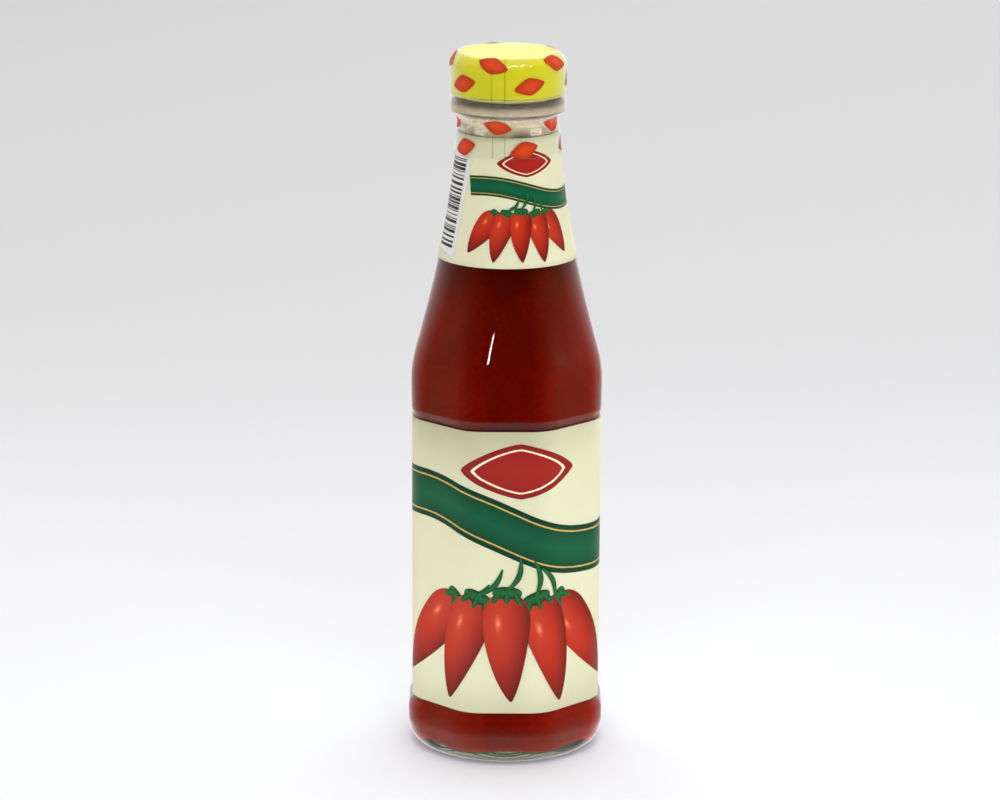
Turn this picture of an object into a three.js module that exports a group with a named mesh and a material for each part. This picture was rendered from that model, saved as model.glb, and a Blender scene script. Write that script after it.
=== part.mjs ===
// A shut glass bottle of hot sauce. The body is an eight-sided tube with soft corners, and its
// label panel is set back between a belt under the shoulder and a heavier belt at the foot. The
// facets run up the shoulder and fade into a round, tapering neck with a bead. A metal cap closes
// the mouth. Paper labels wrap the panel and the neck, and clear film is shrunk over cap and neck.
// Millimetres, +Z up, one facet towards -Y, the origin at the middle of the foot.
import * as THREE from "three";

// Every piece has the same steps round the axis, so that neighbours lie facet on facet.
const FACETS = 8;
const STEPS = FACETS * 8;
const SWEEP_STEPS = 7;
const HEEL_STEPS = 4;
const BEAD_STEPS = 3;
const FLOOR_CORNER_STEPS = 3;

// Heights on the outside of the glass.
const HEEL_TOP = 5.5;
const FOOT_BELT_LOW = 9;
const FOOT_BELT_HIGH = 13.5;
const PANEL_LOW = 16.2;
const PANEL_HIGH = 108.8;
const BELT_LOW = 110.6;
const BELT_HIGH = 122.6;
const SHOULDER = 126.5;
const SWEEP_BEND = 168.2;
const ROUND_FROM = 157;
const BEAD_LOW = 201.7;
const BEAD_HIGH = 207.9;
const MOUTH = 219.9;

// Half widths of the outside, across the flats where it has eight sides.
const PUNT_RADIUS = 20.5;
const CONTACT_INNER = 22.5;
const CONTACT_OUTER = 25.6;
const HEEL_WIDTH = 30.3;
const FOOT_BELT_WIDTH = 30.7;
const PANEL_WIDTH = 29.2;
const BELT_WIDTH = 29.7;
const BELT_TOP_WIDTH = 29.9;
const BELT_TO_SHOULDER = 0.15;
const SHOULDER_WIDTH = 29.2;
const SWEEP_BEND_WIDTH = 17.1;
const NECK_RADIUS = 15.1;
const BEAD_RADIUS = 17.8;
const BEAD_TURN = 60;
const FINISH_RADIUS = 16;

// The corner's radius as a share of the half width: 1 is a circle.
const CORNER_SHARE = 0.42;

// The hollow, the punt under the foot and the sauce.
const WALL = 2.6;
const FLOOR = 3.4;
const FLOOR_CORNER = 3.5;
const PUNT_HEIGHT = 1.4;
const LIP = 0.9;
const SAUCE_LEVEL = 184;
const SAUCE_GAP = 0.2;

// The metal cap.
const CAP_LOW = 208.5;
const CAP_CURL = 0.8;
const CAP_CURL_IN = 0.27;
const CAP_SIDE_TOP = 218.8;
const CAP_SHOULDER_TOP = 219.8;
const CAP_BEVEL_TOP = 221.4;
const CAP_RIM_TOP = 221.7;
const CAP_TOP = 222;
const CAP_RADIUS = 17.85;
const CAP_SHOULDER_RADIUS = 17.45;
const CAP_BEVEL_RADIUS = 15.9;
const CAP_DISC_RADIUS = 15.2;
const CAP_CEILING = 220.7;
const CAP_CEILING_EDGE = 220.4;
const CAP_METAL = 0.8;

// Paper and film.
const PAPER = 0.25;
const PAPER_GAP = 0.08;
const LABEL_LOW = 17;
const LABEL_HIGH = 107.9;
const NECK_LABEL_LOW = 157.5;
const NECK_LABEL_HIGH = 197;
const FILM = 0.2;
const FILM_GAP = 0.12;
const FILM_LOW = 190.5;
const FILM_ON_NECK = 200;
const FILM_ON_NECK_RADIUS = 15.2;
const FILM_HEM = 221.74;
const FILM_HEM_RADIUS = 14.2;

const point = (radius, height) => new THREE.Vector2(radius, height);

// The corner share at a height: a circle at the foot and in the neck, the soft octagon between.
function cornerShare(height) {
  const heel = THREE.MathUtils.smoothstep(height, 0, FOOT_BELT_LOW);
  const shoulder = THREE.MathUtils.clamp((ROUND_FROM - height) / (ROUND_FROM - BELT_HIGH), 0, 1);
  return 1 - (1 - CORNER_SHARE) * Math.min(heel, shoulder);
}

// How far out a soft-cornered octagon of half width 1 lies, at an angle from a facet's middle.
function facetReach(angle, share) {
  const half = Math.PI / FACETS;
  const fromFlat = Math.abs(THREE.MathUtils.euclideanModulo(angle + half, 2 * half) - half);
  const inner = 1 - share;
  if (Math.tan(fromFlat) <= inner * Math.tan(half)) {
    return 1 / Math.cos(fromFlat);
  }
  const corner = inner / Math.cos(half);
  const turn = half - fromFlat;
  return corner * Math.cos(turn) + Math.sqrt(share ** 2 - (corner * Math.sin(turn)) ** 2);
}

// Turns a profile round the axis and pulls each ring out to the bottle's facets at its height.
function turned(profile) {
  const geometry = new THREE.LatheGeometry(profile, STEPS).rotateX(Math.PI / 2);
  const position = geometry.getAttribute("position");
  for (let i = 0; i < position.count; i++) {
    const angle = Math.atan2(position.getX(i), -position.getY(i));
    const reach = facetReach(angle, cornerShare(position.getZ(i)));
    position.setXY(i, position.getX(i) * reach, position.getY(i) * reach);
  }
  return geometry;
}

// The points of an elliptical arc that runs anticlockwise between two angles in degrees.
function arc(middle, across, up, from, to, steps) {
  const [start, end] = [from, to].map(THREE.MathUtils.degToRad);
  return new THREE.EllipseCurve(middle.x, middle.y, across, up, start, end).getPoints(steps);
}

// A profile moved to the right of its own direction, which is outwards where it rises.
function offset(profile, distance) {
  const direction = (a, b) => b.clone().sub(a).normalize();
  return profile.map((p, i) => {
    const before = direction(profile[Math.max(i, 1) - 1], profile[Math.max(i, 1)]);
    const last = profile.length - 1;
    const after = direction(profile[Math.min(i, last - 1)], profile[Math.min(i, last - 1) + 1]);
    const along = before.add(after).normalize();
    return point(p.x + along.y * distance, p.y - along.x * distance);
  });
}

// The part of a rising profile between two heights, cut off square on its own lines.
function between(profile, low, high) {
  const at = (height) => {
    const next = Math.max(profile.findIndex((p) => p.y >= height), 1);
    const [a, b] = [profile[next - 1], profile[next]];
    return point(THREE.MathUtils.mapLinear(height, a.y, b.y, a.x, b.x), height);
  };
  return [at(low), ...profile.filter((p) => p.y > low && p.y < high), at(high)];
}

// A skin of even thickness that stands a small gap off a line.
function skin(line, gap, thickness) {
  const inner = offset(line, gap).reverse();
  const outer = offset(line, gap + thickness);
  return turned([...outer, ...inner, outer[0]]);
}

// Shoulder and neck: one long sweep from the belt's edge to the bead.
const sweep = new THREE.QuadraticBezierCurve(
  point(SHOULDER_WIDTH, SHOULDER),
  point(SWEEP_BEND_WIDTH, SWEEP_BEND),
  point(NECK_RADIUS, BEAD_LOW),
).getPoints(SWEEP_STEPS);

// The outside of the glass, rising from the foot: heel, foot belt, panel, belt, shoulder, neck.
const outside = [
  ...arc(point(CONTACT_OUTER, HEEL_TOP), HEEL_WIDTH - CONTACT_OUTER, HEEL_TOP, -90, 0, HEEL_STEPS),
  point(FOOT_BELT_WIDTH, FOOT_BELT_LOW),
  point(FOOT_BELT_WIDTH, FOOT_BELT_HIGH),
  point(PANEL_WIDTH, PANEL_LOW),
  point(PANEL_WIDTH, PANEL_HIGH),
  point(BELT_WIDTH, BELT_LOW),
  point(BELT_TOP_WIDTH, BELT_HIGH),
  point(BELT_TOP_WIDTH - BELT_TO_SHOULDER, (BELT_HIGH + SHOULDER) / 2),
  ...sweep,
];

// The bead under the cap, a half round that stands out of the neck.
const bead = arc(
  point(NECK_RADIUS, (BEAD_LOW + BEAD_HIGH) / 2),
  BEAD_RADIUS - NECK_RADIUS,
  (BEAD_HIGH - BEAD_LOW) / 2,
  -BEAD_TURN, BEAD_TURN, BEAD_STEPS,
);

// The inside of the glass, rising from the floor: a rounded corner, the wall and the neck.
const inside = [
  ...arc(
    point(PANEL_WIDTH - WALL - FLOOR_CORNER, FLOOR + FLOOR_CORNER),
    FLOOR_CORNER, FLOOR_CORNER, -90, 0, FLOOR_CORNER_STEPS,
  ),
  ...sweep.map((p) => point(p.x - WALL, p.y)),
];

// The glass: under the foot, up the outside, over the mouth and down the bore to the floor.
function bottle() {
  return turned([
    point(0, PUNT_HEIGHT),
    point(PUNT_RADIUS, PUNT_HEIGHT / 2),
    point(CONTACT_INNER, 0),
    ...outside,
    ...bead,
    point(FINISH_RADIUS, BEAD_HIGH),
    point(FINISH_RADIUS, MOUTH - LIP),
    point(FINISH_RADIUS - LIP, MOUTH),
    point(NECK_RADIUS - WALL + LIP, MOUTH),
    point(NECK_RADIUS - WALL, MOUTH - LIP),
    ...[...inside].reverse(),
    point(0, FLOOR),
  ]);
}

// The sauce fills the hollow up to its level in the neck.
function sauce() {
  const corner = inside.slice(0, FLOOR_CORNER_STEPS);
  const wall = between(inside.slice(FLOOR_CORNER_STEPS), inside[FLOOR_CORNER_STEPS].y, SAUCE_LEVEL);
  const line = offset([...corner, ...wall], -SAUCE_GAP);
  return turned([point(0, line[0].y), ...line, point(0, SAUCE_LEVEL)]);
}

// The outside of the cap, rising from its curled edge over the bevel to the rim of the disc.
const capSide = [
  point(CAP_RADIUS - CAP_CURL_IN, CAP_LOW),
  point(CAP_RADIUS, CAP_LOW + CAP_CURL),
  point(CAP_RADIUS, CAP_SIDE_TOP),
  point(CAP_SHOULDER_RADIUS, CAP_SHOULDER_TOP),
  point(CAP_BEVEL_RADIUS, CAP_BEVEL_TOP),
  point(CAP_DISC_RADIUS, CAP_RIM_TOP),
];

// The cap: a shallow cup of sheet metal, turned over the mouth.
function cap() {
  const hollow = CAP_RADIUS - CAP_METAL;
  return turned([
    point(0, CAP_CEILING),
    point(CAP_DISC_RADIUS, CAP_CEILING_EDGE),
    point(hollow, CAP_SIDE_TOP),
    point(hollow, CAP_LOW),
    ...capSide,
    point(0, CAP_TOP),
  ]);
}

// The film: over the neck label's edge, tight round neck, bead and cap, its hem on the disc.
function film() {
  const overLabel = offset(between(outside, FILM_LOW, NECK_LABEL_HIGH), PAPER_GAP + PAPER);
  return skin([
    ...overLabel,
    point(FILM_ON_NECK_RADIUS, FILM_ON_NECK),
    ...bead,
    ...capSide,
    point(FILM_HEM_RADIUS, FILM_HEM),
  ], FILM_GAP, FILM);
}

const bodyLabel = skin(between(outside, LABEL_LOW, LABEL_HIGH), PAPER_GAP, PAPER);
const neckLabel = skin(between(outside, NECK_LABEL_LOW, NECK_LABEL_HIGH), PAPER_GAP, PAPER);

// Each piece's finish.
const glass = { color: 0xdfe8e2, roughness: 0.03, transparent: true, opacity: 0.35 };
const redSauce = { color: 0x6e140b, roughness: 0.35 };
const lacquer = { color: 0xd2cf2c, roughness: 0.3, metalness: 0.3 };
const paper = { color: 0xdcdbb9, roughness: 0.5 };
const varnishedPaper = { color: 0xdcdbb9, roughness: 0.45 };
const clearFilm = { color: 0xf4f4f0, roughness: 0.1, transparent: true, opacity: 0.25 };

// Each piece's name, shape and finish together.
const pieces = [
  ["bottle", bottle(), glass],
  ["sauce", sauce(), redSauce],
  ["cap", cap(), lacquer],
  ["body_label", bodyLabel, paper],
  ["neck_label", neckLabel, varnishedPaper],
  ["shrink_film", film(), clearFilm],
];

const group = new THREE.Group();
for (const [name, geometry, finish] of pieces) {
  const mesh = new THREE.Mesh(geometry, new THREE.MeshStandardMaterial(finish));
  mesh.name = name;
  group.add(mesh);
}

export default group;
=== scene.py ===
"""A shut octagonal bottle of red chilli sauce on a pale floor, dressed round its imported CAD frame.

Lengths are in millimetres with the frame's axes, and MM turns them into Blender's metres.
"""

import math

import bpy
import numpy as np
from mathutils import Matrix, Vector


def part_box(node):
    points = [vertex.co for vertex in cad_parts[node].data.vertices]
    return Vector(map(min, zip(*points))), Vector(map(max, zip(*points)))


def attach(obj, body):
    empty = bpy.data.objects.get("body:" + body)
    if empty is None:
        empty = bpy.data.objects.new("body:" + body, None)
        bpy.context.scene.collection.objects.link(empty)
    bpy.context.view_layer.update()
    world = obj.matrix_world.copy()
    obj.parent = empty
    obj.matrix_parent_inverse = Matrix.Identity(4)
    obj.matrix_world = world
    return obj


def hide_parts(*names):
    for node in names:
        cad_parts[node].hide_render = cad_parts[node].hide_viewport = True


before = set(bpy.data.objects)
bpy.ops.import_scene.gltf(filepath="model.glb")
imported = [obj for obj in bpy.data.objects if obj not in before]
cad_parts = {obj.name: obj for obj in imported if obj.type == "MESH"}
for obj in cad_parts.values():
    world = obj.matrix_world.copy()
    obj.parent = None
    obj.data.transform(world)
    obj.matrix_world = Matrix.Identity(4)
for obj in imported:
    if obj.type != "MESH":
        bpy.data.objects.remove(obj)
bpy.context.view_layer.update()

MM = 0.001

# The bottle: clear soda-lime glass, blown into an eight-sided mould and fire polished. It stands
# on a knurled ring round a shallow punt. Its facets fade into the round neck, which ends in a bead
# and, under the cap, the finish.
FACETS = 8
STEPS = 320
CORNER_SHARE = 0.42
WALL = 2.6
FLOOR = 3.4
FLOOR_CORNER = 3.5
PUNT_RADIUS = 20.5
PUNT_HEIGHT = 1.4
RING_INNER = 22.5
RING_OUTER = 25.6
KNURLS = 80
KNURL_DEPTH = 0.35
HEEL_TOP = 5.5
HEEL_WIDTH = 30.3
FOOT_BELT_LOW = 9
FOOT_BELT_HIGH = 13.5
PAPER_STAND_OFF = 0.33
PANEL_MARGIN = 0.85
BELT_LOW = 110.6
BELT_HIGH = 122.6
BELT_WIDTH = 29.7
EDGE_WIDTH = 29.92
EDGE_HEIGHT = 124
EDGE_SOFTNESS = 5.5
SHOULDER = 126.5
SWEEP_BEND = 168.2
SWEEP_BEND_WIDTH = 17.1
SWEEP_START = 4
SWEEP_POINTS = 45
ROUND_FROM = 157
NECK_RADIUS = 15.1
BEAD_LOW = 201.7
BEAD_HIGH = 207.9
BEAD_STAND_OUT = 2.65
BEAD_TURN = (-70, 75)
FINISH_RADIUS = 16
LIP = 0.9

foot_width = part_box("bottle")[1].x / MM
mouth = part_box("bottle")[1].z / MM
panel_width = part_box("body_label")[1].x / MM - PAPER_STAND_OFF
label_low, label_high = (corner.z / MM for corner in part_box("body_label"))
panel_low, panel_high = label_low - PANEL_MARGIN, label_high + PANEL_MARGIN


def corner_share(z):
    """A corner's radius as a share of the half width: all of it at foot and neck, less between."""
    heel = np.clip(z / FOOT_BELT_LOW, 0, 1)
    heel = heel * heel * (3 - 2 * heel)
    shoulder = np.clip((ROUND_FROM - z) / (ROUND_FROM - BELT_HIGH), 0, 1)
    return 1 - (1 - CORNER_SHARE) * np.minimum(heel, shoulder)


def facet_reach(angle, share):
    """How far out a soft-cornered octagon of half width 1 lies, at an angle from a facet's middle."""
    half = math.pi / FACETS
    from_flat = np.abs((angle + half) % (2 * half) - half)
    corner = (1 - share) / math.cos(half)
    turn = half - from_flat
    rounded = corner * np.cos(turn) + np.sqrt(np.maximum(share**2 - (corner * np.sin(turn)) ** 2, 0))
    return np.where(np.tan(from_flat) <= (1 - share) * math.tan(half), 1 / np.cos(from_flat), rounded)


def wall_point(angle, half_width, z):
    """The place in metres of a point on a ring of this half width, seen from the front at angle 0."""
    r = half_width * facet_reach(angle, corner_share(z))
    return np.stack(np.broadcast_arrays(r * np.sin(angle), -r * np.cos(angle), z), axis=-1) * MM


def eased(corners, steps=6):
    """A profile through (half width, height, softness) corners, each rounded off over its softness."""
    line = []
    for i, (r, z, soft) in enumerate(corners):
        here = np.array((r, z), float)
        if not soft:
            line.append(here)
            continue
        ends = [np.array(corners[i + side][:2]) - here for side in (-1, 1)]
        start, end = (here + e * soft / np.linalg.norm(e) for e in ends)
        for t in np.linspace(0, 1, steps + 1):
            line.append((1 - t) ** 2 * start + 2 * t * (1 - t) * here + t**2 * end)
    return np.array(line)


def filled_in(line, longest=2.5):
    """The same profile with no stretch longer than this, so that the facets can change along it."""
    dense = [line[0]]
    for a, b in zip(line[:-1], line[1:]):
        pieces = max(1, math.ceil(np.linalg.norm(b - a) / longest))
        dense += [a + (b - a) * (k + 1) / pieces for k in range(pieces)]
    return np.array(dense)


def arc(middle, across, up, start, end, steps):
    """The points of an elliptical arc between two angles in degrees."""
    turn = np.radians(np.linspace(start, end, steps + 1))
    return np.stack([middle[0] + across * np.cos(turn), middle[1] + up * np.sin(turn)], axis=1)


def mesh_piece(name, points, faces):
    """A smooth-shaded mesh object from points in metres."""
    mesh = bpy.data.meshes.new(name)
    mesh.from_pydata(np.reshape(points, (-1, 3)).tolist(), [], faces)
    mesh.validate()
    mesh.shade_smooth()
    made = bpy.data.objects.new(name, mesh)
    bpy.context.scene.collection.objects.link(made)
    return made


def turned(name, profile, steps=STEPS, relief=None):
    """A solid turned from a profile that starts and ends on the axis, with the bottle's facets."""
    angle = np.arange(steps) * 2 * math.pi / steps
    rings = profile[1:-1]
    widths, heights = np.repeat(rings[:, None, :], steps, axis=1).transpose(2, 0, 1)
    if relief:
        heights = heights + relief(angle[None, :], widths, heights)
    points = wall_point(angle[None, :], widths, heights)
    poles = np.array([(0, 0, profile[0][1]), (0, 0, profile[-1][1])]) * MM
    count = len(rings) * steps
    faces = []
    for i in range(len(rings) - 1):
        for j in range(steps):
            k = (j + 1) % steps
            faces.append((i * steps + j, i * steps + k, (i + 1) * steps + k, (i + 1) * steps + j))
    for j in range(steps):
        k = (j + 1) % steps
        faces.append((count, k, j))
        faces.append((count + 1, count - steps + j, count - steps + k))
    return mesh_piece(name, np.concatenate([points.reshape(-1, 3), poles]), faces)


def knurl(angle, width, height):
    """The ring's knurling: small grooves across the flat that the bottle stands on."""
    from_middle_line = np.abs(width - (RING_INNER + RING_OUTER) / 2)
    on_ring = np.clip(1 - from_middle_line / (RING_OUTER - RING_INNER), 0, 1)
    return KNURL_DEPTH * (0.5 - 0.5 * np.cos(KNURLS * angle)) * on_ring * (height < 1)


t = np.linspace(0, 1, SWEEP_POINTS)[:, None]
sweep = (
    (1 - t) ** 2 * (panel_width, SHOULDER)
    + 2 * t * (1 - t) * (SWEEP_BEND_WIDTH, SWEEP_BEND)
    + t**2 * (NECK_RADIUS, BEAD_LOW)
)
body = eased([
    (HEEL_WIDTH, HEEL_TOP, 0),
    (foot_width, FOOT_BELT_LOW, 1.5),
    (foot_width, FOOT_BELT_HIGH, 1.2),
    (panel_width, panel_low, 0.8),
    (panel_width, panel_high, 0.6),
    (BELT_WIDTH, BELT_LOW, 0.6),
    (EDGE_WIDTH, EDGE_HEIGHT, EDGE_SOFTNESS),
    (*sweep[SWEEP_START], 0),
])
outside = filled_in(np.concatenate([
    arc((RING_OUTER, HEEL_TOP), HEEL_WIDTH - RING_OUTER, HEEL_TOP, -90, 0, 12)[:-1],
    body,
    sweep[SWEEP_START + 1 :],
]))
bead_middle = (BEAD_LOW + BEAD_HIGH) / 2
bead = arc((NECK_RADIUS, bead_middle), BEAD_STAND_OUT, (BEAD_HIGH - BEAD_LOW) / 2, *BEAD_TURN, 16)
finish = eased([
    (FINISH_RADIUS, BEAD_HIGH, 0),
    (FINISH_RADIUS, mouth, LIP),
    (NECK_RADIUS - WALL, mouth, LIP),
    (NECK_RADIUS - WALL, BEAD_LOW, 0),
])
inside = filled_in(np.concatenate([
    arc((panel_width - WALL - FLOOR_CORNER, FLOOR + FLOOR_CORNER),
        FLOOR_CORNER, FLOOR_CORNER, -90, 0, 10),
    sweep - (WALL, 0),
]))
foot = eased([
    (0, PUNT_HEIGHT, 0),
    (PUNT_RADIUS, PUNT_HEIGHT / 2, 1.5),
    (RING_INNER, 0, 0.6),
    (RING_OUTER, 0, 0),
])[:-1]
glass_line = np.concatenate([
    filled_in(foot, 1), outside, bead, finish, inside[::-1], [(0, FLOOR)],
])
bottle = turned("bottle_glass", glass_line, relief=knurl)


def linear(hex_colour):
    """An sRGB hex colour as the linear RGBA that the shaders take."""
    channels = [int(hex_colour[i : i + 2], 16) / 255 for i in (0, 2, 4)]
    return [c / 12.92 if c <= 0.04045 else ((c + 0.055) / 1.055) ** 2.4 for c in channels] + [1.0]


def material(name):
    """An empty node material, and its tree."""
    made = bpy.data.materials.new(name)
    made.use_nodes = True
    made.node_tree.nodes.clear()
    return made, made.node_tree


def add(tree, kind, inputs=None, **settings):
    """A node with its settings; each input is a value, or another node's output to link."""
    made = tree.nodes.new(f"ShaderNode{kind}")
    for name, value in settings.items():
        setattr(made, name, value)
    for name, value in (inputs or {}).items():
        if isinstance(value, bpy.types.NodeSocket):
            tree.links.new(value, made.inputs[name])
        else:
            made.inputs[name].default_value = value
    return made


def per_mm(size):
    """A noise node's scale for a pattern whose grains are this many millimetres across."""
    return 1 / (size * MM)


# Fire-polished flint glass: a smooth skin, faintly smeared by hands, over slow mould waves, which
# bend what it mirrors, and a trace of green where it is thick.
glass, tree = material("flint_glass_fire_polished")
place = add(tree, "TexCoord").outputs["Object"]
waves = add(tree, "TexNoise", {"Vector": place, "Scale": per_mm(16), "Detail": 1.0})
bump = add(tree, "Bump", {"Height": waves.outputs["Fac"], "Strength": 0.25, "Distance": 0.5 * MM})
smears = add(tree, "TexNoise", {"Vector": place, "Scale": per_mm(9), "Detail": 3.0})
haze = add(tree, "MapRange", {
    "Value": smears.outputs["Fac"], "From Min": 0.45, "From Max": 0.75, "To Min": 0.01, "To Max": 0.05,
})
skin = add(tree, "BsdfPrincipled", {
    "Base Color": linear("FAFCFA"),
    "Roughness": haze.outputs["Result"],
    "IOR": 1.52,
    "Transmission Weight": 1.0,
    "Normal": bump.outputs["Normal"],
})
tint = add(tree, "VolumeAbsorption", {"Color": linear("DADBD5"), "Density": 170.0})
add(tree, "OutputMaterial", {"Surface": skin.outputs["BSDF"], "Volume": tint.outputs["Volume"]})
bottle.data.materials.append(glass)
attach(bottle, "root")
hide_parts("bottle")

# The sauce: a thick, opaque puree of red chillies, filled hot up to the neck. It wets the glass, so
# it is modelled a hair into the wall, and no air shows between the two. It lies a hair off the
# floor, whose glass so carries light through under it, as the thick foot of a real bottle does.
INTO_WALL = 0.18
OFF_FLOOR = 0.1
SURFACE_EDGE = 0.8
SURFACE_DROP = 0.5
SURFACE_DIP = 0.6
sauce_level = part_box("sauce")[1].z / MM
wet = inside[inside[:, 1] < sauce_level - 1]
wet_end = np.interp(sauce_level, inside[:, 1], inside[:, 0])
sauce_line = np.concatenate([
    [(0, FLOOR + OFF_FLOOR)],
    wet + (INTO_WALL, OFF_FLOOR),
    [(wet_end + INTO_WALL, sauce_level),
     (wet_end - SURFACE_EDGE, sauce_level - SURFACE_DROP),
     (0, sauce_level - SURFACE_DIP)],
])
sauce = turned("sauce_fill", sauce_line)

# Pureed chilli: deep brown-red, cloudy with fine pulp, and dull where it meets the glass, since glass
# and sauce bend light nearly alike. Its colour carries painted shade, darker towards the neck label,
# which keeps light out there. The pulp is drawn coarser than life, at 1.2 mm, so that it shows.
NECK_LABEL_SHADE = 158
SHADE_DEPTH = 18
puree, tree = material("chilli_puree_cooked")
place = add(tree, "TexCoord").outputs["Object"]
pulp = add(tree, "TexNoise", {"Vector": place, "Scale": per_mm(1.2), "Detail": 4.0, "Roughness": 0.6})
clouds = add(tree, "TexNoise", {"Vector": place, "Scale": per_mm(22), "Detail": 2.0})
depth = add(tree, "Math", {0: pulp.outputs["Fac"], 1: clouds.outputs["Fac"]}, operation="MULTIPLY")
red = add(tree, "ValToRGB", {"Fac": depth.outputs["Value"]})
red.color_ramp.elements[0].position = 0.12
red.color_ramp.elements[0].color = linear("6C0700")
red.color_ramp.elements[1].position = 0.42
red.color_ramp.elements[1].color = linear("7E0C01")
height = add(tree, "SeparateXYZ", {"Vector": place}).outputs["Z"]
# Painted shade: the colour is scaled down to 0.45 of itself up towards the neck label's lower edge.
painted_neck_shade = add(tree, "MapRange", {
    "Value": height,
    "From Min": (NECK_LABEL_SHADE - SHADE_DEPTH) * MM, "From Max": NECK_LABEL_SHADE * MM,
    "To Min": 1.0, "To Max": 0.45,
})
shaded = add(tree, "VectorMath", {
    0: red.outputs["Color"], "Scale": painted_neck_shade.outputs["Result"],
}, operation="SCALE")
skin = add(tree, "BsdfPrincipled", {
    "Base Color": shaded.outputs["Vector"],
    "Roughness": 0.5,
    "IOR": 1.36,
    "Specular IOR Level": 0.0,
    "Subsurface Weight": 0.6,
    "Subsurface Radius": (1.0, 0.1, 0.04),
    "Subsurface Scale": 6 * MM,
    "Sheen Weight": 1.0,
    "Sheen Roughness": 0.5,
    "Sheen Tint": linear("FF4A1A"),
})
add(tree, "OutputMaterial", {"Surface": skin.outputs["BSDF"]})
sauce.data.materials.append(puree)
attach(sauce, "root")
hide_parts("sauce")

# The cap: one disc of tinplate, drawn into a shallow cup with a curled edge and a bevelled
# shoulder, and stove lacquered yellow. It sits tight on the mouth, and the film seals it.
CAP_METAL = 0.8
CAP_CURL = 0.8
CAP_BEVEL = 2.7
CAP_DOME = 0.5
CAP_DISC_RADIUS = 15.2
CAP_DISC_DROP = 0.35
CAP_INSIDE_DROP = 0.8
CAP_TOP_RADIUS = 15.8
CAP_EDGE_SOFTNESS = 0.9
cap_low, cap_high = (corner.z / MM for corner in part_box("cap"))
cap_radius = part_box("cap")[1].x / MM
cap_side_top = cap_high - CAP_DOME - CAP_BEVEL
cap_side = [
    (cap_radius, cap_side_top, CAP_EDGE_SOFTNESS),
    (CAP_TOP_RADIUS, cap_high - CAP_DISC_DROP, CAP_EDGE_SOFTNESS),
]
cap_line = np.concatenate([
    eased([
        (0, cap_high - CAP_DOME - CAP_METAL, 0),
        (CAP_DISC_RADIUS, cap_high - CAP_INSIDE_DROP - CAP_METAL, 1),
        (cap_radius - CAP_METAL, cap_side_top, 1),
        (cap_radius - CAP_METAL, cap_low, 0),
    ]),
    arc((cap_radius - CAP_CURL / 2, cap_low + CAP_CURL / 2), CAP_CURL / 2, CAP_CURL / 2, -170, 0, 8),
    eased([(cap_radius, cap_low + CAP_CURL, 0), *cap_side, (0, cap_high, 0)]),
])
cap = turned("cap_tinplate", cap_line)

# Stove lacquer on tinplate: one even, strong yellow with a hard gloss and faint orange peel.
lacquer, tree = material("tinplate_stove_lacquered")
place = add(tree, "TexCoord").outputs["Object"]
clouds = add(tree, "TexNoise", {"Vector": place, "Scale": per_mm(14), "Detail": 2.0})
yellow = add(tree, "ValToRGB", {"Fac": clouds.outputs["Fac"]})
yellow.color_ramp.elements[0].position = 0.3
yellow.color_ramp.elements[0].color = linear("CECB0E")
yellow.color_ramp.elements[1].position = 0.7
yellow.color_ramp.elements[1].color = linear("D6D316")
peel = add(tree, "TexNoise", {"Vector": place, "Scale": per_mm(1.5), "Detail": 1.0})
bump = add(tree, "Bump", {"Height": peel.outputs["Fac"], "Strength": 0.08, "Distance": 0.1 * MM})
skin = add(tree, "BsdfPrincipled", {
    "Base Color": yellow.outputs["Color"],
    "Roughness": 0.3,
    "Coat Weight": 0.4,
    "Coat Roughness": 0.08,
    "Normal": bump.outputs["Normal"],
})
add(tree, "OutputMaterial", {"Surface": skin.outputs["BSDF"]})
cap.data.materials.append(lacquer)
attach(cap, "root")
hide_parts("cap")

# The body label: one strip of coated paper, wet-glued round the panel, its end lapped over its
# start at the back.
PAPER = 0.25
LAP = math.radians(12)
LAP_START = math.radians(174)
LAP_RAMP = math.radians(1.5)


def quads(a, b, c, d):
    """Four-sided faces, from four grids of their corners' numbers."""
    return np.stack([a, b, c, d], axis=-1).reshape(-1, 4).tolist()


def shells(name, sheets):
    """Thin closed sheets as one mesh: each is a face and a back, in rows of points, and flat UVs."""
    points, faces, spots = [], [], []
    start = 0
    for face, back, flat in sheets:
        rows, columns = face.shape[:2]
        top = start + np.arange(rows * columns).reshape(rows, columns)
        under = top + rows * columns
        for a, b, c, d in (
            (top[:-1, :-1], top[1:, :-1], top[1:, 1:], top[:-1, 1:]),
            (under[:-1, 1:], under[1:, 1:], under[1:, :-1], under[:-1, :-1]),
            (top[1:, 0], top[:-1, 0], under[:-1, 0], under[1:, 0]),
            (top[:-1, -1], top[1:, -1], under[1:, -1], under[:-1, -1]),
            (top[0, :-1], top[0, 1:], under[0, 1:], under[0, :-1]),
            (top[-1, 1:], top[-1, :-1], under[-1, :-1], under[-1, 1:]),
        ):
            faces += quads(a, b, c, d)
        points += [face.reshape(-1, 3), back.reshape(-1, 3)]
        spots += [flat.reshape(-1, 2)] * 2
        start += 2 * rows * columns
    made = mesh_piece(name, np.concatenate(points), faces)
    corners = np.empty(len(made.data.loops), int)
    made.data.loops.foreach_get("vertex_index", corners)
    uv = np.concatenate(spots)[corners]
    made.data.uv_layers.new(name="flat").data.foreach_set("uv", uv.ravel())
    return made


def panel_face(angle, z, lift):
    """A point this far off the glass of the label panel."""
    return wall_point(angle, panel_width + lift, z)


def paper_ring(name, face, low, high, rows):
    """A label: a strip of paper once round the bottle and on over its own start."""
    around = np.linspace(-LAP_START, LAP_START + LAP, STEPS)[:, None]
    up = np.linspace(low, high, rows)[None, :]
    rise = PAPER_STAND_OFF - PAPER + np.clip((around - LAP_START) / LAP_RAMP, 0, 1) * PAPER * 0.5
    flat = np.stack(np.broadcast_arrays(around, up), axis=-1)
    return shells(name, [(face(around, up, rise + PAPER), face(around, up, rise), flat)])


body_label = paper_ring("body_label_paper", panel_face, label_low, label_high, 6)

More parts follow.
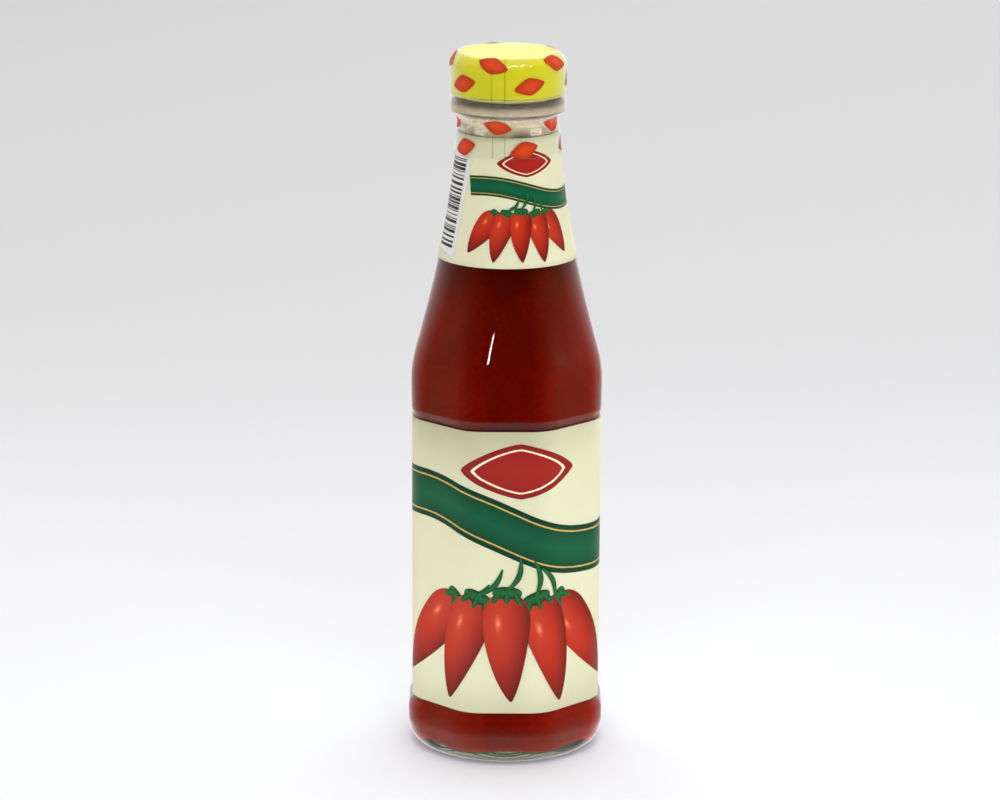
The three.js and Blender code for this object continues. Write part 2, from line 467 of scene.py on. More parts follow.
# Clay-coated label paper: warm cream, even and half glossy, with a faint tooth of fibres under
# the coating, drawn coarser than life, at 0.8 mm, so that it shows. It is thin enough to let light
# through, which shows inside the empty neck.
paper, tree = material("label_paper_clay_coated")
place = add(tree, "TexCoord").outputs["Object"]
fibres = add(tree, "TexNoise", {"Vector": place, "Scale": per_mm(0.8), "Detail": 4.0})
clouds = add(tree, "TexNoise", {"Vector": place, "Scale": per_mm(25), "Detail": 2.0})
tooth = add(tree, "Math", {0: fibres.outputs["Fac"], 1: clouds.outputs["Fac"]}, operation="MULTIPLY")
cream = add(tree, "ValToRGB", {"Fac": tooth.outputs["Value"]})
cream.color_ramp.elements[0].position = 0.15
cream.color_ramp.elements[0].color = linear("EFF1CF")
cream.color_ramp.elements[1].position = 0.4
cream.color_ramp.elements[1].color = linear("F3F5D7")
bump = add(tree, "Bump", {"Height": fibres.outputs["Fac"], "Strength": 0.1, "Distance": 0.05 * MM})
skin = add(tree, "BsdfPrincipled", {
    "Base Color": cream.outputs["Color"],
    "Roughness": 0.42,
    "Normal": bump.outputs["Normal"],
})
through = add(tree, "BsdfTranslucent", {"Color": linear("FAF3D8")})
thin = add(tree, "MixShader", {0: 0.35, 1: skin.outputs["BSDF"], 2: through.outputs["BSDF"]})
add(tree, "OutputMaterial", {"Surface": thin.outputs["Shader"]})
body_label.data.materials.append(paper)
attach(body_label, "root")
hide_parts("body_label")

# The body label's print: four-colour offset on the paper, under a gloss varnish. The design is a
# plain one of its own: a red lozenge with a pale line in it, a green wave with two gold lines, and
# a fan of five red chillies with their green stalks.
INK = 0.02
PIXEL = 0.4
INK_LIFT = 0.04
POD_SHOULDER = 0.26
panel_angles = np.linspace(-math.pi, math.pi, 2881)
panel_ring = wall_point(panel_angles, panel_width + PAPER_STAND_OFF, label_low) / MM
panel_steps = np.linalg.norm(np.diff(panel_ring, axis=0), axis=1)
panel_girth = np.concatenate([[0], np.cumsum(panel_steps)]) - panel_steps.sum() / 2


def panel_spot(across, z, lift):
    """A place on the body label, by millimetres round it from the front, its height and its lift."""
    angle = np.interp(across, panel_girth, panel_angles)
    return panel_face(angle, z, PAPER_STAND_OFF + lift)


def printed(name, spot, shapes):
    """Ink on a surface: each shape has a centre line, its half widths there and its lift, in mm.

    The flat UVs run from -1 to 1 along the line, and from -1 to 1 over the greatest width.
    """
    sheets = []
    for line, halves, lift in shapes:
        line, halves = np.asarray(line, float), np.asarray(halves, float)
        slope = np.gradient(line, axis=0)
        slope /= np.linalg.norm(slope, axis=1)[:, None]
        side = np.stack([-slope[:, 1], slope[:, 0]], axis=-1)
        columns = 2 * max(1, math.ceil(halves.max() / PIXEL)) + 1
        reach = np.linspace(-1, 1, columns)[None, :] * halves[:, None]
        across, up = (line[:, None, :] + side[:, None, :] * reach[..., None]).transpose(2, 0, 1)
        walked = np.concatenate([[0], np.cumsum(np.linalg.norm(np.diff(line, axis=0), axis=1))])
        along = np.broadcast_to(2 * walked[:, None] / walked[-1] - 1, reach.shape)
        flat = np.stack([along, reach / halves.max()], axis=-1)
        sheets.append((spot(across, up, lift), spot(across, up, lift - INK), flat))
    return shells(name, sheets)


def lobe(middle, half_length, half_width, degrees, lift, power=2.0):
    """A closed shape round a place: an ellipse at power 2, nearer a lozenge the lower it is."""
    t = np.sin(np.linspace(-0.498, 0.498, 2 * math.ceil(half_length / PIXEL) + 5) * math.pi)
    turn = math.radians(degrees)
    line = np.array(middle) + t[:, None] * half_length * np.array([math.cos(turn), math.sin(turn)])
    return line, half_width * (1 - np.abs(t) ** power) ** (1 / power), lift


def wave(start, end, sag, half_width, lift):
    """A band of even width between two places, bent up and then down like a wave."""
    t = np.linspace(0, 1, math.ceil(math.dist(start, end) / PIXEL))
    line = np.array(start) + t[:, None] * np.subtract(end, start)
    line[:, 1] += sag * np.sin(2 * math.pi * t)
    return line, np.full(len(t), half_width), lift


def stroke(start, end, bend, wide, lift):
    """A leaf or a stalk: a curved stroke between two places, widest in the middle."""
    t = np.linspace(0, 1, 14)
    line = np.array(start) + t[:, None] * np.subtract(end, start)
    line += (np.sin(math.pi * t) * bend)[:, None] * np.array([end[1] - start[1], start[0] - end[0]])
    return line, 0.08 + wide * np.sin(math.pi * (0.08 + 0.84 * t)), lift


def pod(crown, degrees, length, half_width, bend, lift):
    """A plump chilli that hangs from its crown: broad shoulders, then a taper to a blunt tip."""
    t = np.linspace(0, 1, math.ceil(length / PIXEL))
    turn = math.radians(degrees)
    down = np.array([math.sin(turn), -math.cos(turn)])
    aside = np.array([math.cos(turn), math.sin(turn)])
    line = np.array(crown) + length * (t[:, None] * down + (bend * t**2)[:, None] * aside)
    shoulder = np.sqrt(1 - (1 - np.clip(t / POD_SHOULDER, 0.03, 1)) ** 2)
    below = np.clip((t - POD_SHOULDER) / (1 - POD_SHOULDER), 0, 0.998)
    taper = (1 - 0.82 * below**1.7) * np.sqrt(1 - below**10)
    return line, half_width * shoulder * taper, lift


def stalk(crown, degrees, length, half_width, lift):
    """A chilli's green crown, a low cap over its shoulders, and the bent stalk above it."""
    turn = math.radians(degrees)
    down = np.array([math.sin(turn), -math.cos(turn)])
    aside = np.array([math.cos(turn), math.sin(turn)])
    crown = np.array(crown)
    tip = crown - down * length * 0.3 + aside * length * 0.1
    return [
        lobe(crown + down * 0.6, half_width * 0.62, half_width * 0.27, degrees, lift, 2.4),
        *[stroke(crown + aside * k * half_width * 0.3,
                 crown + (aside * k + down) * half_width * 0.6,
                 0, half_width * 0.12, lift + 0.006 * (k + 2)) for k in (-1, 0, 1)],
        stroke(crown - down * 0.2, tip, 0.15, half_width * 0.11, lift + 0.024),
    ]


def ink(name, measure, stops):
    """A printed ink, coloured by a measure of the place on its shape, with the press's fine grain."""
    made, tree = material(name)
    spot = add(tree, "UVMap", uv_map="flat").outputs["UV"]
    place = add(tree, "TexCoord").outputs["Object"]
    grain = add(tree, "TexNoise", {"Vector": place, "Scale": per_mm(0.7), "Detail": 2.0})
    value = add(tree, "Math", {0: grain.outputs["Fac"], 1: 0.04, 2: measure(tree, spot)},
                operation="MULTIPLY_ADD")
    ramp = add(tree, "ValToRGB", {"Fac": value.outputs["Value"]})
    ramp.color_ramp.elements.remove(ramp.color_ramp.elements[1])
    for i, (position, colour) in enumerate(stops):
        stop = ramp.color_ramp.elements[0] if i == 0 else ramp.color_ramp.elements.new(position)
        stop.position, stop.color = position, linear(colour)
    bump = add(tree, "Bump", {"Height": grain.outputs["Fac"], "Strength": 0.08, "Distance": 0.03 * MM})
    skin = add(tree, "BsdfPrincipled", {
        "Base Color": ramp.outputs["Color"], "Roughness": 0.4, "Specular IOR Level": 0.3,
        "Normal": bump.outputs["Normal"],
    })
    add(tree, "OutputMaterial", {"Surface": skin.outputs["BSDF"]})
    return made


def from_spot(x, y, scale):
    """A measure that grows with the distance from one spot of a shape."""
    return lambda tree, spot: add(tree, "Math", {
        0: add(tree, "VectorMath", {0: spot, 1: (x, y, 0)}, operation="DISTANCE").outputs["Value"],
        1: scale,
    }, operation="MULTIPLY").outputs["Value"]


def from_line(tree, spot):
    """A measure that is 0 on a shape's centre line and 1 on its edges."""
    return add(tree, "Math", {0: add(tree, "SeparateXYZ", {"Vector": spot}).outputs["Y"]},
               operation="ABSOLUTE").outputs["Value"]


def from_middle(tree, spot):
    """A measure that is 0 in a lozenge's middle and 1 all along its edge."""
    apart = add(tree, "VectorMath", {0: spot}, operation="ABSOLUTE").outputs["Vector"]
    parts = add(tree, "SeparateXYZ", {"Vector": apart})
    x, y = (
        add(tree, "Math", {0: parts.outputs[axis], 1: LOZENGE}, operation="POWER").outputs["Value"]
        for axis in "XY"
    )
    return add(tree, "Math", {0: x, 1: y}, operation="ADD").outputs["Value"]


# Offset inks: even, slightly soft tones, half glossy under the varnish, with the press's grain
# drawn coarser than life, at 0.7 mm, so that it shows. Each chilli is light where its upper left
# would catch the light, and dark at its far edge and tip.
LOZENGE = 1.35
red_ink = ink("ink_red_offset_printed", from_middle, (
    (0.0, "A11E15"), (0.7, "97180F"), (0.715, "F0E6CC"), (0.775, "F0E6CC"),
    (0.79, "91160F"), (1.0, "86120D"),
))
green_ink = ink("ink_green_offset_printed", from_line, (
    (0.0, "005A38"), (0.45, "005032"), (0.735, "00452A"), (0.75, "C4A558"), (0.8, "C4A558"),
    (0.815, "004028"), (1.0, "003823"),
))
chilli_ink = ink("ink_chilli_offset_printed", from_spot(-0.42, -0.34, 0.62), (
    (0.0, "E89A78"), (0.06, "D65A38"), (0.13, "B83012"), (0.42, "AA250A"),
    (0.66, "8C1907"), (0.93, "580C07"),
))
leaf_ink = ink("ink_leaf_offset_printed", from_line, (
    (0.0, "206C34"), (0.6, "0C502A"), (1.0, "04361E"),
))

# The fan, from its outer chillies, which lie behind, to its middle one: the angle in degrees, the
# crown's place in mm to one side for a chilli of the design's length, and the bend.
FAN = ((-46, -17, 0.12), (44, 18, -0.13), (-23, -9.5, 0.11), (21, 10.5, -0.12), (-3, 0.5, 0.09))
FAN_LENGTH = 40
FAN_DROP = 210


def fan(top, length, half_width, lift):
    """Chillies in a fan: the crown, degrees, length, half width, bend and lift of each."""
    return [
        ((top[0] + shift * length / FAN_LENGTH, top[1] - abs(shift) * length / FAN_DROP),
         degrees, length, half_width, bend, lift + k * lift * 0.5)
        for k, (degrees, shift, bend) in enumerate(FAN)
    ]


label_fan = fan((0, 57), 36, 7.4, INK_LIFT * 2)
label_prints = {
    "label_lozenge_print": (red_ink, [lobe((4.5, 95.3), 19, 8.8, 0, INK_LIFT, LOZENGE)]),
    "label_wave_print": (green_ink, [wave((-47, 84), (47, 69), 4.5, 7.6, INK_LIFT)]),
    "label_chilli_print": (chilli_ink, [
        pod(crown, degrees, length, width, bend, lift)
        for crown, degrees, length, width, bend, lift in label_fan
    ]),
    "label_stalk_print": (leaf_ink, [
        shape for crown, degrees, length, width, bend, lift in label_fan
        for shape in stalk(crown, degrees, length, width, lift + INK_LIFT * 0.5)
    ]),
}
for name, (colour, shapes) in label_prints.items():
    print_piece = printed(name, panel_spot, shapes)
    print_piece.data.materials.append(colour)
    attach(print_piece, "root")

# The neck label: a smaller strip of the same paper, die cut to a curve, so that it lies flat round
# the taper, where it is wet-glued too.
neck_label_low, neck_label_high = (corner.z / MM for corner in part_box("neck_label"))


def neck_radius(z):
    """The glass's radius on the taper."""
    return np.interp(z, sweep[:, 1], sweep[:, 0])


def neck_face(angle, z, lift):
    """A point this far off the glass of the neck."""
    r = neck_radius(z) + lift
    return np.stack(np.broadcast_arrays(r * np.sin(angle), -r * np.cos(angle), z), axis=-1) * MM


neck_label = paper_ring("neck_label_paper", neck_face, neck_label_low, neck_label_high, 24)
neck_label.data.materials.append(paper)
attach(neck_label, "root")
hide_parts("neck_label")

# The neck label's print: the same motifs, smaller, beside a white patch with a stack of plain
# black bars of seeded widths.
BAR_SEED = 7
BAR_LOW, BAR_HIGH = 162, 189.4
BAR_LENGTH = 9
BAR_WIDTHS = (0.3, 0.3, 0.6, 0.9)
PATCH_HALF_WIDTH = 6.2


def neck_spot(across, z, lift):
    """A place on the neck label, by millimetres round it from the front, its height and its lift."""
    return neck_face(across / (neck_radius(z) + PAPER_STAND_OFF), z, PAPER_STAND_OFF + lift)


def bar_edge(z):
    """The right-hand end of the bars, which lean with the taper."""
    return -14 - 6 * (BAR_HIGH - z) / (BAR_HIGH - BAR_LOW)


# The same offset inks: a dull white and a black that the varnish makes a little grey.
white_ink = ink("ink_white_offset_printed", from_line, ((0.0, "D9D9D7"), (1.0, "D3D3D1")))
black_ink = ink("ink_black_offset_printed", from_line, ((0.0, "1C1B1D"), (1.0, "262528")))
draw = np.random.default_rng(BAR_SEED)
bars = []
z = BAR_LOW
while z < BAR_HIGH:
    thick, gap = draw.choice(BAR_WIDTHS, 2)
    bars.append((z, thick))
    z += thick + gap
neck_fan = fan((4, 175.5), 16, 3.5, INK_LIFT * 2)
neck_prints = {
    "neck_patch_print": (white_ink, [(
        [(bar_edge(z) - 4.6, z) for z in np.linspace(BAR_LOW - 2, BAR_HIGH + 2, 40)],
        np.full(40, PATCH_HALF_WIDTH), INK_LIFT,
    )]),
    "neck_bar_print": (black_ink, [
        ([(s, z + thick / 2) for s in np.linspace(bar_edge(z) - BAR_LENGTH, bar_edge(z), 16)],
         np.full(16, thick / 2), INK_LIFT * 2)
        for z, thick in bars
    ]),
    "neck_lozenge_print": (red_ink, [lobe((6, 189.3), 9.4, 4.2, 0, INK_LIFT, LOZENGE)]),
    "neck_wave_print": (green_ink, [wave((-12.5, 182), (27, 177.5), 1.3, 3, INK_LIFT)]),
    "neck_chilli_print": (chilli_ink, [
        pod(crown, degrees, length, width, bend, lift)
        for crown, degrees, length, width, bend, lift in neck_fan
    ]),
    "neck_stalk_print": (leaf_ink, [
        shape for crown, degrees, length, width, bend, lift in neck_fan
        for shape in stalk(crown, degrees, length, width, lift + INK_LIFT * 0.5)
    ]),
}
for name, (colour, shapes) in neck_prints.items():
    print_piece = printed(name, neck_spot, shapes)
    print_piece.data.materials.append(colour)
    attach(print_piece, "root")

# The film: a clear printed sleeve, shrunk with hot air over cap, bead, neck and the neck label's
# edge. It is seamed down the front, and it puckers where it had to shrink most.
FILM = 0.08
FILM_REST = 0.14
FILM_STEPS = 720
FILM_HEM_RADIUS = 14.2
SEAMS = (-16.5, -3.2)
SEAM_RIDGE = 0.1
SEAM_SPREAD = 1.1
BEVEL_PUCKER, BEVEL_REACH = 0.07, 2.2
NECK_PUCKER, NECK_REACH = 0.1, 2.5
PUCKERS_ROUND = (23, 41)
film_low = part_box("shrink_film")[0].z / MM
label_top = np.linspace(film_low, neck_label_high, 8)
# What the film lies on, upwards: the neck label's edge, the neck, the bead, a short free stretch,
# and the cap up to the hem on its top.
film_rest = eased([
    *[(neck_radius(z) + PAPER_STAND_OFF + PAPER * 0.5, z, 0) for z in label_top],
    (NECK_RADIUS + 0.25, neck_label_high + 2.2, 1),
    (NECK_RADIUS + 0.35, BEAD_LOW - 0.3, 1),
    (NECK_RADIUS + BEAD_STAND_OUT * 0.8, BEAD_LOW + 1.3, 0.8),
    (NECK_RADIUS + BEAD_STAND_OUT, bead_middle - 1, 0.8),
    (NECK_RADIUS + BEAD_STAND_OUT, bead_middle + 1.4, 0.8),
    (cap_radius - 0.25, cap_low, 0.8),
    (cap_radius, cap_low + 1.4, 1),
    *cap_side,
    (FILM_HEM_RADIUS, cap_high - 0.22, 0),
], 8)
film_line = filled_in(film_rest, 0.6)
film_path = np.concatenate([[0], np.cumsum(np.linalg.norm(np.diff(film_line, axis=0), axis=1))])
film_tangent = np.gradient(film_line, film_path, axis=0)
film_tangent /= np.linalg.norm(film_tangent, axis=1)[:, None]


def film_pucker(angle, path):
    """How far the film stands off what it lies on: its seams, and small waves where it shrank most."""
    degrees = np.degrees((angle + math.pi) % (2 * math.pi) - math.pi)
    ridges = sum(np.exp(-(((degrees - seam) / SEAM_SPREAD) ** 2)) for seam in SEAMS) * SEAM_RIDGE
    bevel_path, neck_path = np.interp((cap_side_top, BEAD_LOW - 1), film_line[:, 1], film_path)
    near_bevel = np.exp(-(((path - bevel_path - 1.5) / BEVEL_REACH) ** 2))
    near_neck = np.exp(-(((path - neck_path) / NECK_REACH) ** 2))
    coarse, fine = PUCKERS_ROUND
    uneven = np.sin(coarse * angle + 0.9 * np.sin(5 * angle))
    waves = 0.5 * uneven + 0.5 * np.sin(fine * angle + 1.7 + path)
    return ridges + BEVEL_PUCKER * near_bevel * waves + NECK_PUCKER * near_neck * waves


def film_face(angle, path, lift):
    """A point this far off the film's own line, at a distance up it from its lower edge."""
    r, z, along_r, along_z = (
        np.interp(path, film_path, values)
        for values in (*film_line.T, *film_tangent.T)
    )
    off = FILM_REST + film_pucker(angle, path) + lift
    r, z = r + along_z * off, z - along_r * off
    return np.stack(np.broadcast_arrays(r * np.sin(angle), -r * np.cos(angle), z), axis=-1) * MM


def closed_sleeve(name, face, back):
    """A thin sleeve between two grids of points that run once round the axis."""
    columns, rows = face.shape[:2]
    outer = np.arange(columns * rows).reshape(columns, rows)
    inner = outer + columns * rows
    after_outer, after_inner = np.roll(outer, -1, axis=0), np.roll(inner, -1, axis=0)
    faces = quads(outer[:, :-1], after_outer[:, :-1], after_outer[:, 1:], outer[:, 1:])
    faces += quads(inner[:, 1:], after_inner[:, 1:], after_inner[:, :-1], inner[:, :-1])
    faces += quads(after_outer[:, 0], outer[:, 0], inner[:, 0], after_inner[:, 0])
    faces += quads(outer[:, -1], after_outer[:, -1], after_inner[:, -1], inner[:, -1])
    return mesh_piece(name, np.concatenate([face.reshape(-1, 3), back.reshape(-1, 3)]), faces)


around = (np.arange(FILM_STEPS) * 2 * math.pi / FILM_STEPS)[:, None]
film = closed_sleeve(
    "film_sleeve",
    film_face(around, film_path[None, :], FILM),
    film_face(around, film_path[None, :], 0),
)

# Shrunk film: clear plastic with a hard, slightly rippled gloss. It is milky where it was drawn
# in most, over the neck and the bead, clear where it lies tight against the bead's lower edge and
# near the cap, and greyer in two lines where the seam doubles it.
SEAM_HALF_WIDTH = math.radians(0.5)
# How milky the film is, by height in mm.
MILKINESS = (
    (197.03, 0), (200.7, 0.36), (202.6, 0.34), (203.1, 0.04), (203.7, 0.04), (204.2, 0.31),
    (205.2, 0.27), (206.8, 0.05), (208.1, 0.04), (208.5, 0),
)
clear, tree = material("shrink_film_clear")
place = add(tree, "TexCoord").outputs["Object"]
ripples = add(tree, "TexNoise", {"Vector": place, "Scale": per_mm(3), "Detail": 2.0})
bump = add(tree, "Bump", {"Height": ripples.outputs["Fac"], "Strength": 0.2, "Distance": 0.2 * MM})
apart = add(tree, "SeparateXYZ", {"Vector": place})
back = add(tree, "Math", {0: apart.outputs["Y"], 1: -1.0}, operation="MULTIPLY")
turn = add(tree, "Math", {0: apart.outputs["X"], 1: back.outputs["Value"]}, operation="ARCTAN2")
lines = [
    add(tree, "Math", {
        0: turn.outputs["Value"], 1: math.radians(seam), 2: SEAM_HALF_WIDTH,
    }, operation="COMPARE")
    for seam in SEAMS
]
doubled = add(tree, "Math", {i: line.outputs["Value"] for i, line in enumerate(lines)}, operation="ADD")
tint = add(tree, "ValToRGB", {"Fac": doubled.outputs["Value"]})
tint.color_ramp.elements[0].color = linear("FFFFFF")
tint.color_ramp.elements[1].color = linear("F0F0E8")
through = add(tree, "BsdfTransparent", {"Color": tint.outputs["Color"]})
gloss = add(tree, "BsdfGlossy", {
    "Color": linear("FFFFFF"), "Roughness": 0.1, "Normal": bump.outputs["Normal"],
})
edge = add(tree, "LayerWeight", {"Blend": 0.5, "Normal": bump.outputs["Normal"]})
steep = add(tree, "Math", {0: edge.outputs["Facing"], 1: 4.0}, operation="POWER")
share = add(tree, "MapRange", {"Value": steep.outputs["Value"], "To Min": 0.04, "To Max": 0.6})
cloudy = add(tree, "BsdfDiffuse", {"Color": linear("F6E6C6")})
up_neck = add(tree, "MapRange", {
    "Value": apart.outputs["Z"], "From Min": neck_label_high * MM, "From Max": cap_low * MM,
})
drawn = add(tree, "ValToRGB", {"Fac": up_neck.outputs["Result"]})
stops = drawn.color_ramp.elements
stops.remove(stops[1])
for i, (z, milky) in enumerate(MILKINESS):
    at = (z - neck_label_high) / (cap_low - neck_label_high)
    stop = stops[0] if i == 0 else stops.new(at)
    stop.position, stop.color = at, (milky, milky, milky, 1)
streaks = add(tree, "TexNoise", {"Vector": place, "Scale": per_mm(2.2), "Detail": 3.0})
broken = add(tree, "MapRange", {
    "Value": streaks.outputs["Fac"], "From Min": 0.3, "From Max": 0.65, "To Min": 0.8, "To Max": 1.1,
})
haze = add(tree, "Math", {0: drawn.outputs["Color"], 1: broken.outputs["Result"]}, operation="MULTIPLY")
body = add(tree, "MixShader", {
    0: haze.outputs["Value"], 1: through.outputs["BSDF"], 2: cloudy.outputs["BSDF"],
})
mixed = add(tree, "MixShader", {
    0: share.outputs["Result"], 1: body.outputs["Shader"], 2: gloss.outputs["BSDF"],
})
add(tree, "OutputMaterial", {"Surface": mixed.outputs["Shader"]})
film.data.materials.append(clear)
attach(film, "root")
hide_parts("shrink_film")

# The film's print: small red lozenges in staggered rows, printed flat and pulled out of true where
# the film shrank.
FILM_MARKS = 5
MARK_HALF_LENGTH = 5.1
MARK_HALF_WIDTH = 2.7
MARK_ROWS = ((193.3, 18, 14), (200.6, -12, -10), (213.2, 22, 12), (219.6, -16, -14))


def film_spot(across, path, lift):
    """A place on the film, by millimetres round it from the front, its distance up it and its lift."""
    return film_face(across / cap_radius, path, FILM + lift)


marks = [
    lobe(
        (cap_radius * math.radians((start + k * 360 / FILM_MARKS + 180) % 360 - 180),
         np.interp(z, film_line[:, 1], film_path)),
        MARK_HALF_LENGTH, MARK_HALF_WIDTH, tilt, INK_LIFT, LOZENGE,
    )
    for z, start, tilt in MARK_ROWS
    for k in range(FILM_MARKS)
]
film_print = printed("film_lozenge_print", film_spot, marks)

# Gravure ink on film: a clear, bright red, a little thinner where the film was stretched.
film_ink = ink("ink_red_gravure_printed", from_middle, (
    (0.0, "CC4210"), (0.5, "BE370B"), (1.0, "AC2C08"),
))
film_print.data.materials.append(film_ink)
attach(film_print, "root")

# The floor: a wide sheet of pale matt paper, which isn't part of the object. Painted shade darkens it a
# little behind the bottle, where the light falls off, and a painted contact shadow darkens it under the
# foot.
FLOOR_HALF = 4000
PAINTED_FALLOFF = (100, 620)
CONTACT_SHADOW = (22, 31)
floor = mesh_piece(
    "floor_paper",
    [(x * FLOOR_HALF * MM, y * FLOOR_HALF * MM, 0) for x, y in ((-1, -1), (1, -1), (1, 1), (-1, 1))],
    [(0, 1, 2, 3)],
)
matt, tree = material("backdrop_paper_matt")
place = add(tree, "TexCoord").outputs["Object"]
mottle = add(tree, "TexNoise", {"Vector": place, "Scale": per_mm(40), "Detail": 2.0, "Roughness": 0.5})
far = add(tree, "SeparateXYZ", {"Vector": place}).outputs["Y"]
# Painted shade: the paper's colour darkens with distance behind the bottle, as the light falls off.
painted_falloff = add(tree, "MapRange", {
    "Value": far, "From Min": PAINTED_FALLOFF[0] * MM, "From Max": PAINTED_FALLOFF[1] * MM, "To Min": 0.0, "To Max": 0.97,
}, interpolation_type="SMOOTHSTEP")
tone = add(tree, "Math", {0: mottle.outputs["Fac"], 1: 0.03, 2: painted_falloff.outputs["Result"]},
           operation="MULTIPLY_ADD")
white = add(tree, "ValToRGB", {"Fac": tone.outputs["Value"]})
white.color_ramp.elements[0].color = linear("EAF1FF")
white.color_ramp.elements[1].color = linear("DBE2EE")
from_axis = add(tree, "VectorMath", {0: place}, operation="LENGTH").outputs["Value"]
# Painted contact shadow: the colour drops to a fifth right under the foot.
painted_contact_shadow = add(tree, "MapRange", {
    "Value": from_axis, "From Min": CONTACT_SHADOW[0] * MM, "From Max": CONTACT_SHADOW[1] * MM,
    "To Min": 0.2, "To Max": 1.0,
})
shade = add(tree, "VectorMath", {
    0: white.outputs["Color"], "Scale": painted_contact_shadow.outputs["Result"],
}, operation="SCALE")
skin = add(tree, "BsdfPrincipled", {
    "Base Color": shade.outputs["Vector"], "Roughness": 0.9, "Specular IOR Level": 0.1,
})
add(tree, "OutputMaterial", {"Surface": skin.outputs["BSDF"]})
floor.data.materials.append(matt)

# The light: a pale studio, dim where the camera stands and brightest behind and overhead. The room's
# lower part stands in for the floor, which the glass doesn't mirror itself. Wide soft lamps, not
# mirrored either, light each group of pieces by itself, at the level that the photograph shows.
floor.visible_glossy = False
world = bpy.data.worlds.new("studio")
bpy.context.scene.world = world
world.use_nodes = True
world.node_tree.nodes.clear()
tree = world.node_tree
towards = add(tree, "TexCoord").outputs["Generated"]
split = add(tree, "SeparateXYZ", {"Vector": towards})
depth = add(tree, "MapRange", {"Value": split.outputs["Y"], "From Min": -1.0, "From Max": 1.0})
room = add(tree, "ValToRGB", {"Fac": depth.outputs["Result"]})
room.color_ramp.elements[0].position = 0.05
room.color_ramp.elements[0].color = (0.02, 0.015, 0.01, 1)
room.color_ramp.elements[1].color = (0.95, 0.95, 0.96, 1)
middle = room.color_ramp.elements.new(0.5)
middle.color = (0.22, 0.175, 0.11, 1)
sheet = add(tree, "MapRange", {
    "Value": split.outputs["Z"], "From Min": -0.3, "From Max": -0.42, "To Min": 0.0, "To Max": 0.5,
})
seen = add(tree, "VectorMath", {0: room.outputs["Color"], 1: sheet.outputs["Result"]}, operation="ADD")
lid = add(tree, "MapRange", {
    "Value": split.outputs["Z"], "From Min": 0.55, "From Max": 0.95, "To Min": 1.0, "To Max": 4.4,
})
glow = add(tree, "Background", {"Color": seen.outputs["Vector"], "Strength": lid.outputs["Result"]})
add(tree, "OutputWorld", {"Surface": glow.outputs["Background"]})


def soft_light(name, place, aim, size, watts):
    """A rectangular soft light at a place, turned towards a point, both in metres."""
    data = bpy.data.lights.new(name, "AREA")
    data.shape = "RECTANGLE"
    data.size, data.size_y = size
    data.energy = watts
    lamp = bpy.data.objects.new(name, data)
    bpy.context.scene.collection.objects.link(lamp)
    place, aim = (np.array(p, float) for p in (place, aim))
    away = place - aim
    yaw = math.atan2(away[0], -away[1])
    pitch = math.atan2(math.hypot(away[0], away[1]), away[2])
    lamp.matrix_world = (
        Matrix.Translation(place) @ Matrix.Rotation(yaw, 4, "Z") @ Matrix.Rotation(pitch, 4, "X")
    )
    return lamp


soft_light("overhead", (0.3, -0.4, 1.6), (0.3, -0.2, 0), (1.8, 1.8), 6.8).visible_glossy = False
soft_light("front", (0.1, -1.8, 1.1), (0, 0, 0.1), (1.8, 0.9), 4.8).visible_glossy = False

# The groups that lamps light by themselves: the floor, the bottle with its sauce, all that is
# outside on the bottle, and of that the film, and all from the neck label up.
pieces = [piece for piece in bpy.context.scene.objects if piece.type == "MESH"]
lit = {}
for group, members in {
    "floor": [floor],
    "contents": [bottle, sauce],
    "outside": [piece for piece in pieces if piece not in (floor, bottle, sauce)],
    "film": [film],
    "upper": [cap, film, film_print, *(piece for piece in pieces if piece.name.startswith("neck"))],
}.items():
    lit[group] = bpy.data.collections.new(f"lit_{group}")
    for piece in members:
        lit[group].objects.link(piece)

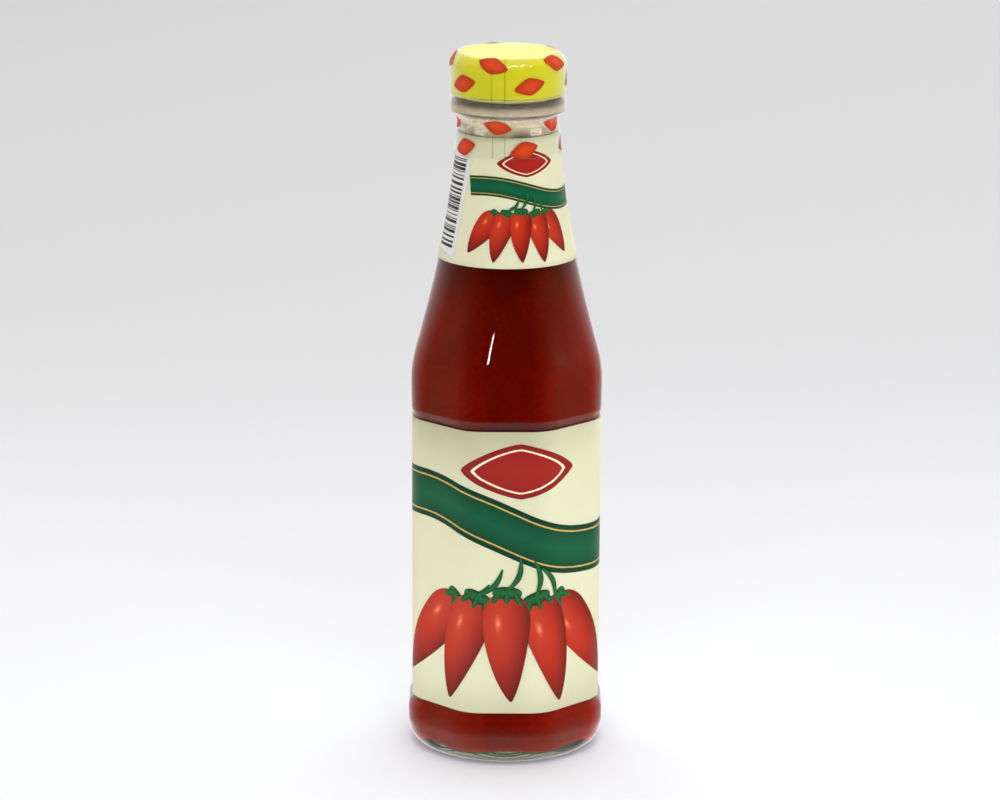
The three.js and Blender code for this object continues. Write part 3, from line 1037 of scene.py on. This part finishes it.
# Each lamp: its place, what it is turned to, its size, all in metres, its watts and its group. The
# floor's own lamps cast no shadow of the bottle.
for name, place, aim, size, watts, group in (
    ("left", (-1.5, -0.5, 0.2), (0, 0, 0.12), (1.0, 0.7), 1.8, "outside"),
    ("right", (1.5, -0.4, 0.2), (0, 0, 0.12), (1.0, 0.7), 4, "outside"),
    ("left_in", (-1.5, -0.35, 0.2), (0, 0, 0.12), (1.0, 0.7), 24, "contents"),
    ("right_in", (1.5, -0.3, 0.2), (0, 0, 0.12), (1.0, 0.7), 25, "contents"),
    ("low_left", (-0.18, -0.1, 0.02), (0, 0, 0.02), (0.2, 0.04), 0.15, "outside"),
    ("low_right", (0.4, -0.2, 0.04), (0, 0, 0.04), (0.4, 0.07), 0.8, "outside"),
    ("low_front", (0, -0.14, 0.01), (0, 0, 0.01), (0.25, 0.04), 0.075, "outside"),
    ("low_left_in", (-0.2, -0.07, 0.01), (0, 0, 0.01), (0.2, 0.02), 1.15, "contents"),
    ("low_right_in", (0.2, -0.07, 0.01), (0, 0, 0.01), (0.2, 0.02), 1.7, "contents"),
    ("low_front_in", (0, -0.14, 0.01), (0, 0, 0.01), (0.25, 0.04), 0.08, "contents"),
    ("above", (0.1, -0.1, 0.9), (0, 0, 0.2), (0.5, 0.5), 2.1, "outside"),
    ("upper", (-0.12, -0.28, 0.33), (0, 0, 0.19), (0.15, 0.1), 0.23, "upper"),
    ("behind", (0.1, 1.3, 0.6), (0, 0, 0.12), (1.4, 0.9), 20, "outside"),
    ("behind_in", (0.1, 1.3, 0.6), (0, 0, 0.12), (1.4, 0.9), 20, "contents"),
    ("floor_front", (0.1, -1.8, 1.1), (0, 0, 0.1), (1.8, 0.9), 14, "floor"),
    ("floor_far", (0.9, 1.8, 1.5), (0.9, 1.6, 0), (2.4, 1.4), 6, "floor"),
    ("floor_near", (0, -0.07, 0.2), (0, -0.07, 0), (0.1, 0.05), 0.045, "floor"),
):
    lamp = soft_light(name, place, aim, size, watts)
    lamp.visible_glossy = False
    lamp.light_linking.receiver_collection = lit[group]
    if group == "floor":
        lamp.light_linking.blocker_collection = lit[group]

# Three lamps that are mirrored: the floor's glow in the foot, a glint on the film's upper edge, and
# the streak on the shoulder.
under = soft_light("under", (0, -0.1, 0.002), (0, -0.1, 1), (0.5, 0.3), 0.03)
under.visible_camera = under.visible_transmission = False
under.light_linking.receiver_collection = lit["contents"]
glint = soft_light("glint", (0.25, -0.9, 1.5), (0, 0, 0.22), (1.6, 0.14), 7)
glint.light_linking.receiver_collection = lit["film"]
soft_light("streak", (-0.085, -1.3, 0.55), (0, 0, 0.13), (0.055, 0.06), 0.33)

# The camera stands where the photograph was taken from: 1.3 m off and 0.4 m up, looking a little
# down, through a long lens.
CAMERA_PLACE = (-2.05, -1225.1, 418.6)
CAMERA_PITCH = 0.2462
CAMERA_ROLL = 0.0045
FOCAL_LENGTH = 144.6
lens = bpy.data.cameras.new("photo_view")
lens.lens = FOCAL_LENGTH
camera = bpy.data.objects.new("photo_view", lens)
bpy.context.scene.collection.objects.link(camera)
camera.matrix_world = (
    Matrix.Translation([c * MM for c in CAMERA_PLACE])
    @ Matrix.Rotation(math.pi / 2 - CAMERA_PITCH, 4, "X")
    @ Matrix.Rotation(CAMERA_ROLL, 4, "Z")
)
bpy.context.scene.camera = camera
bpy.context.scene.view_settings.view_transform = "Standard"
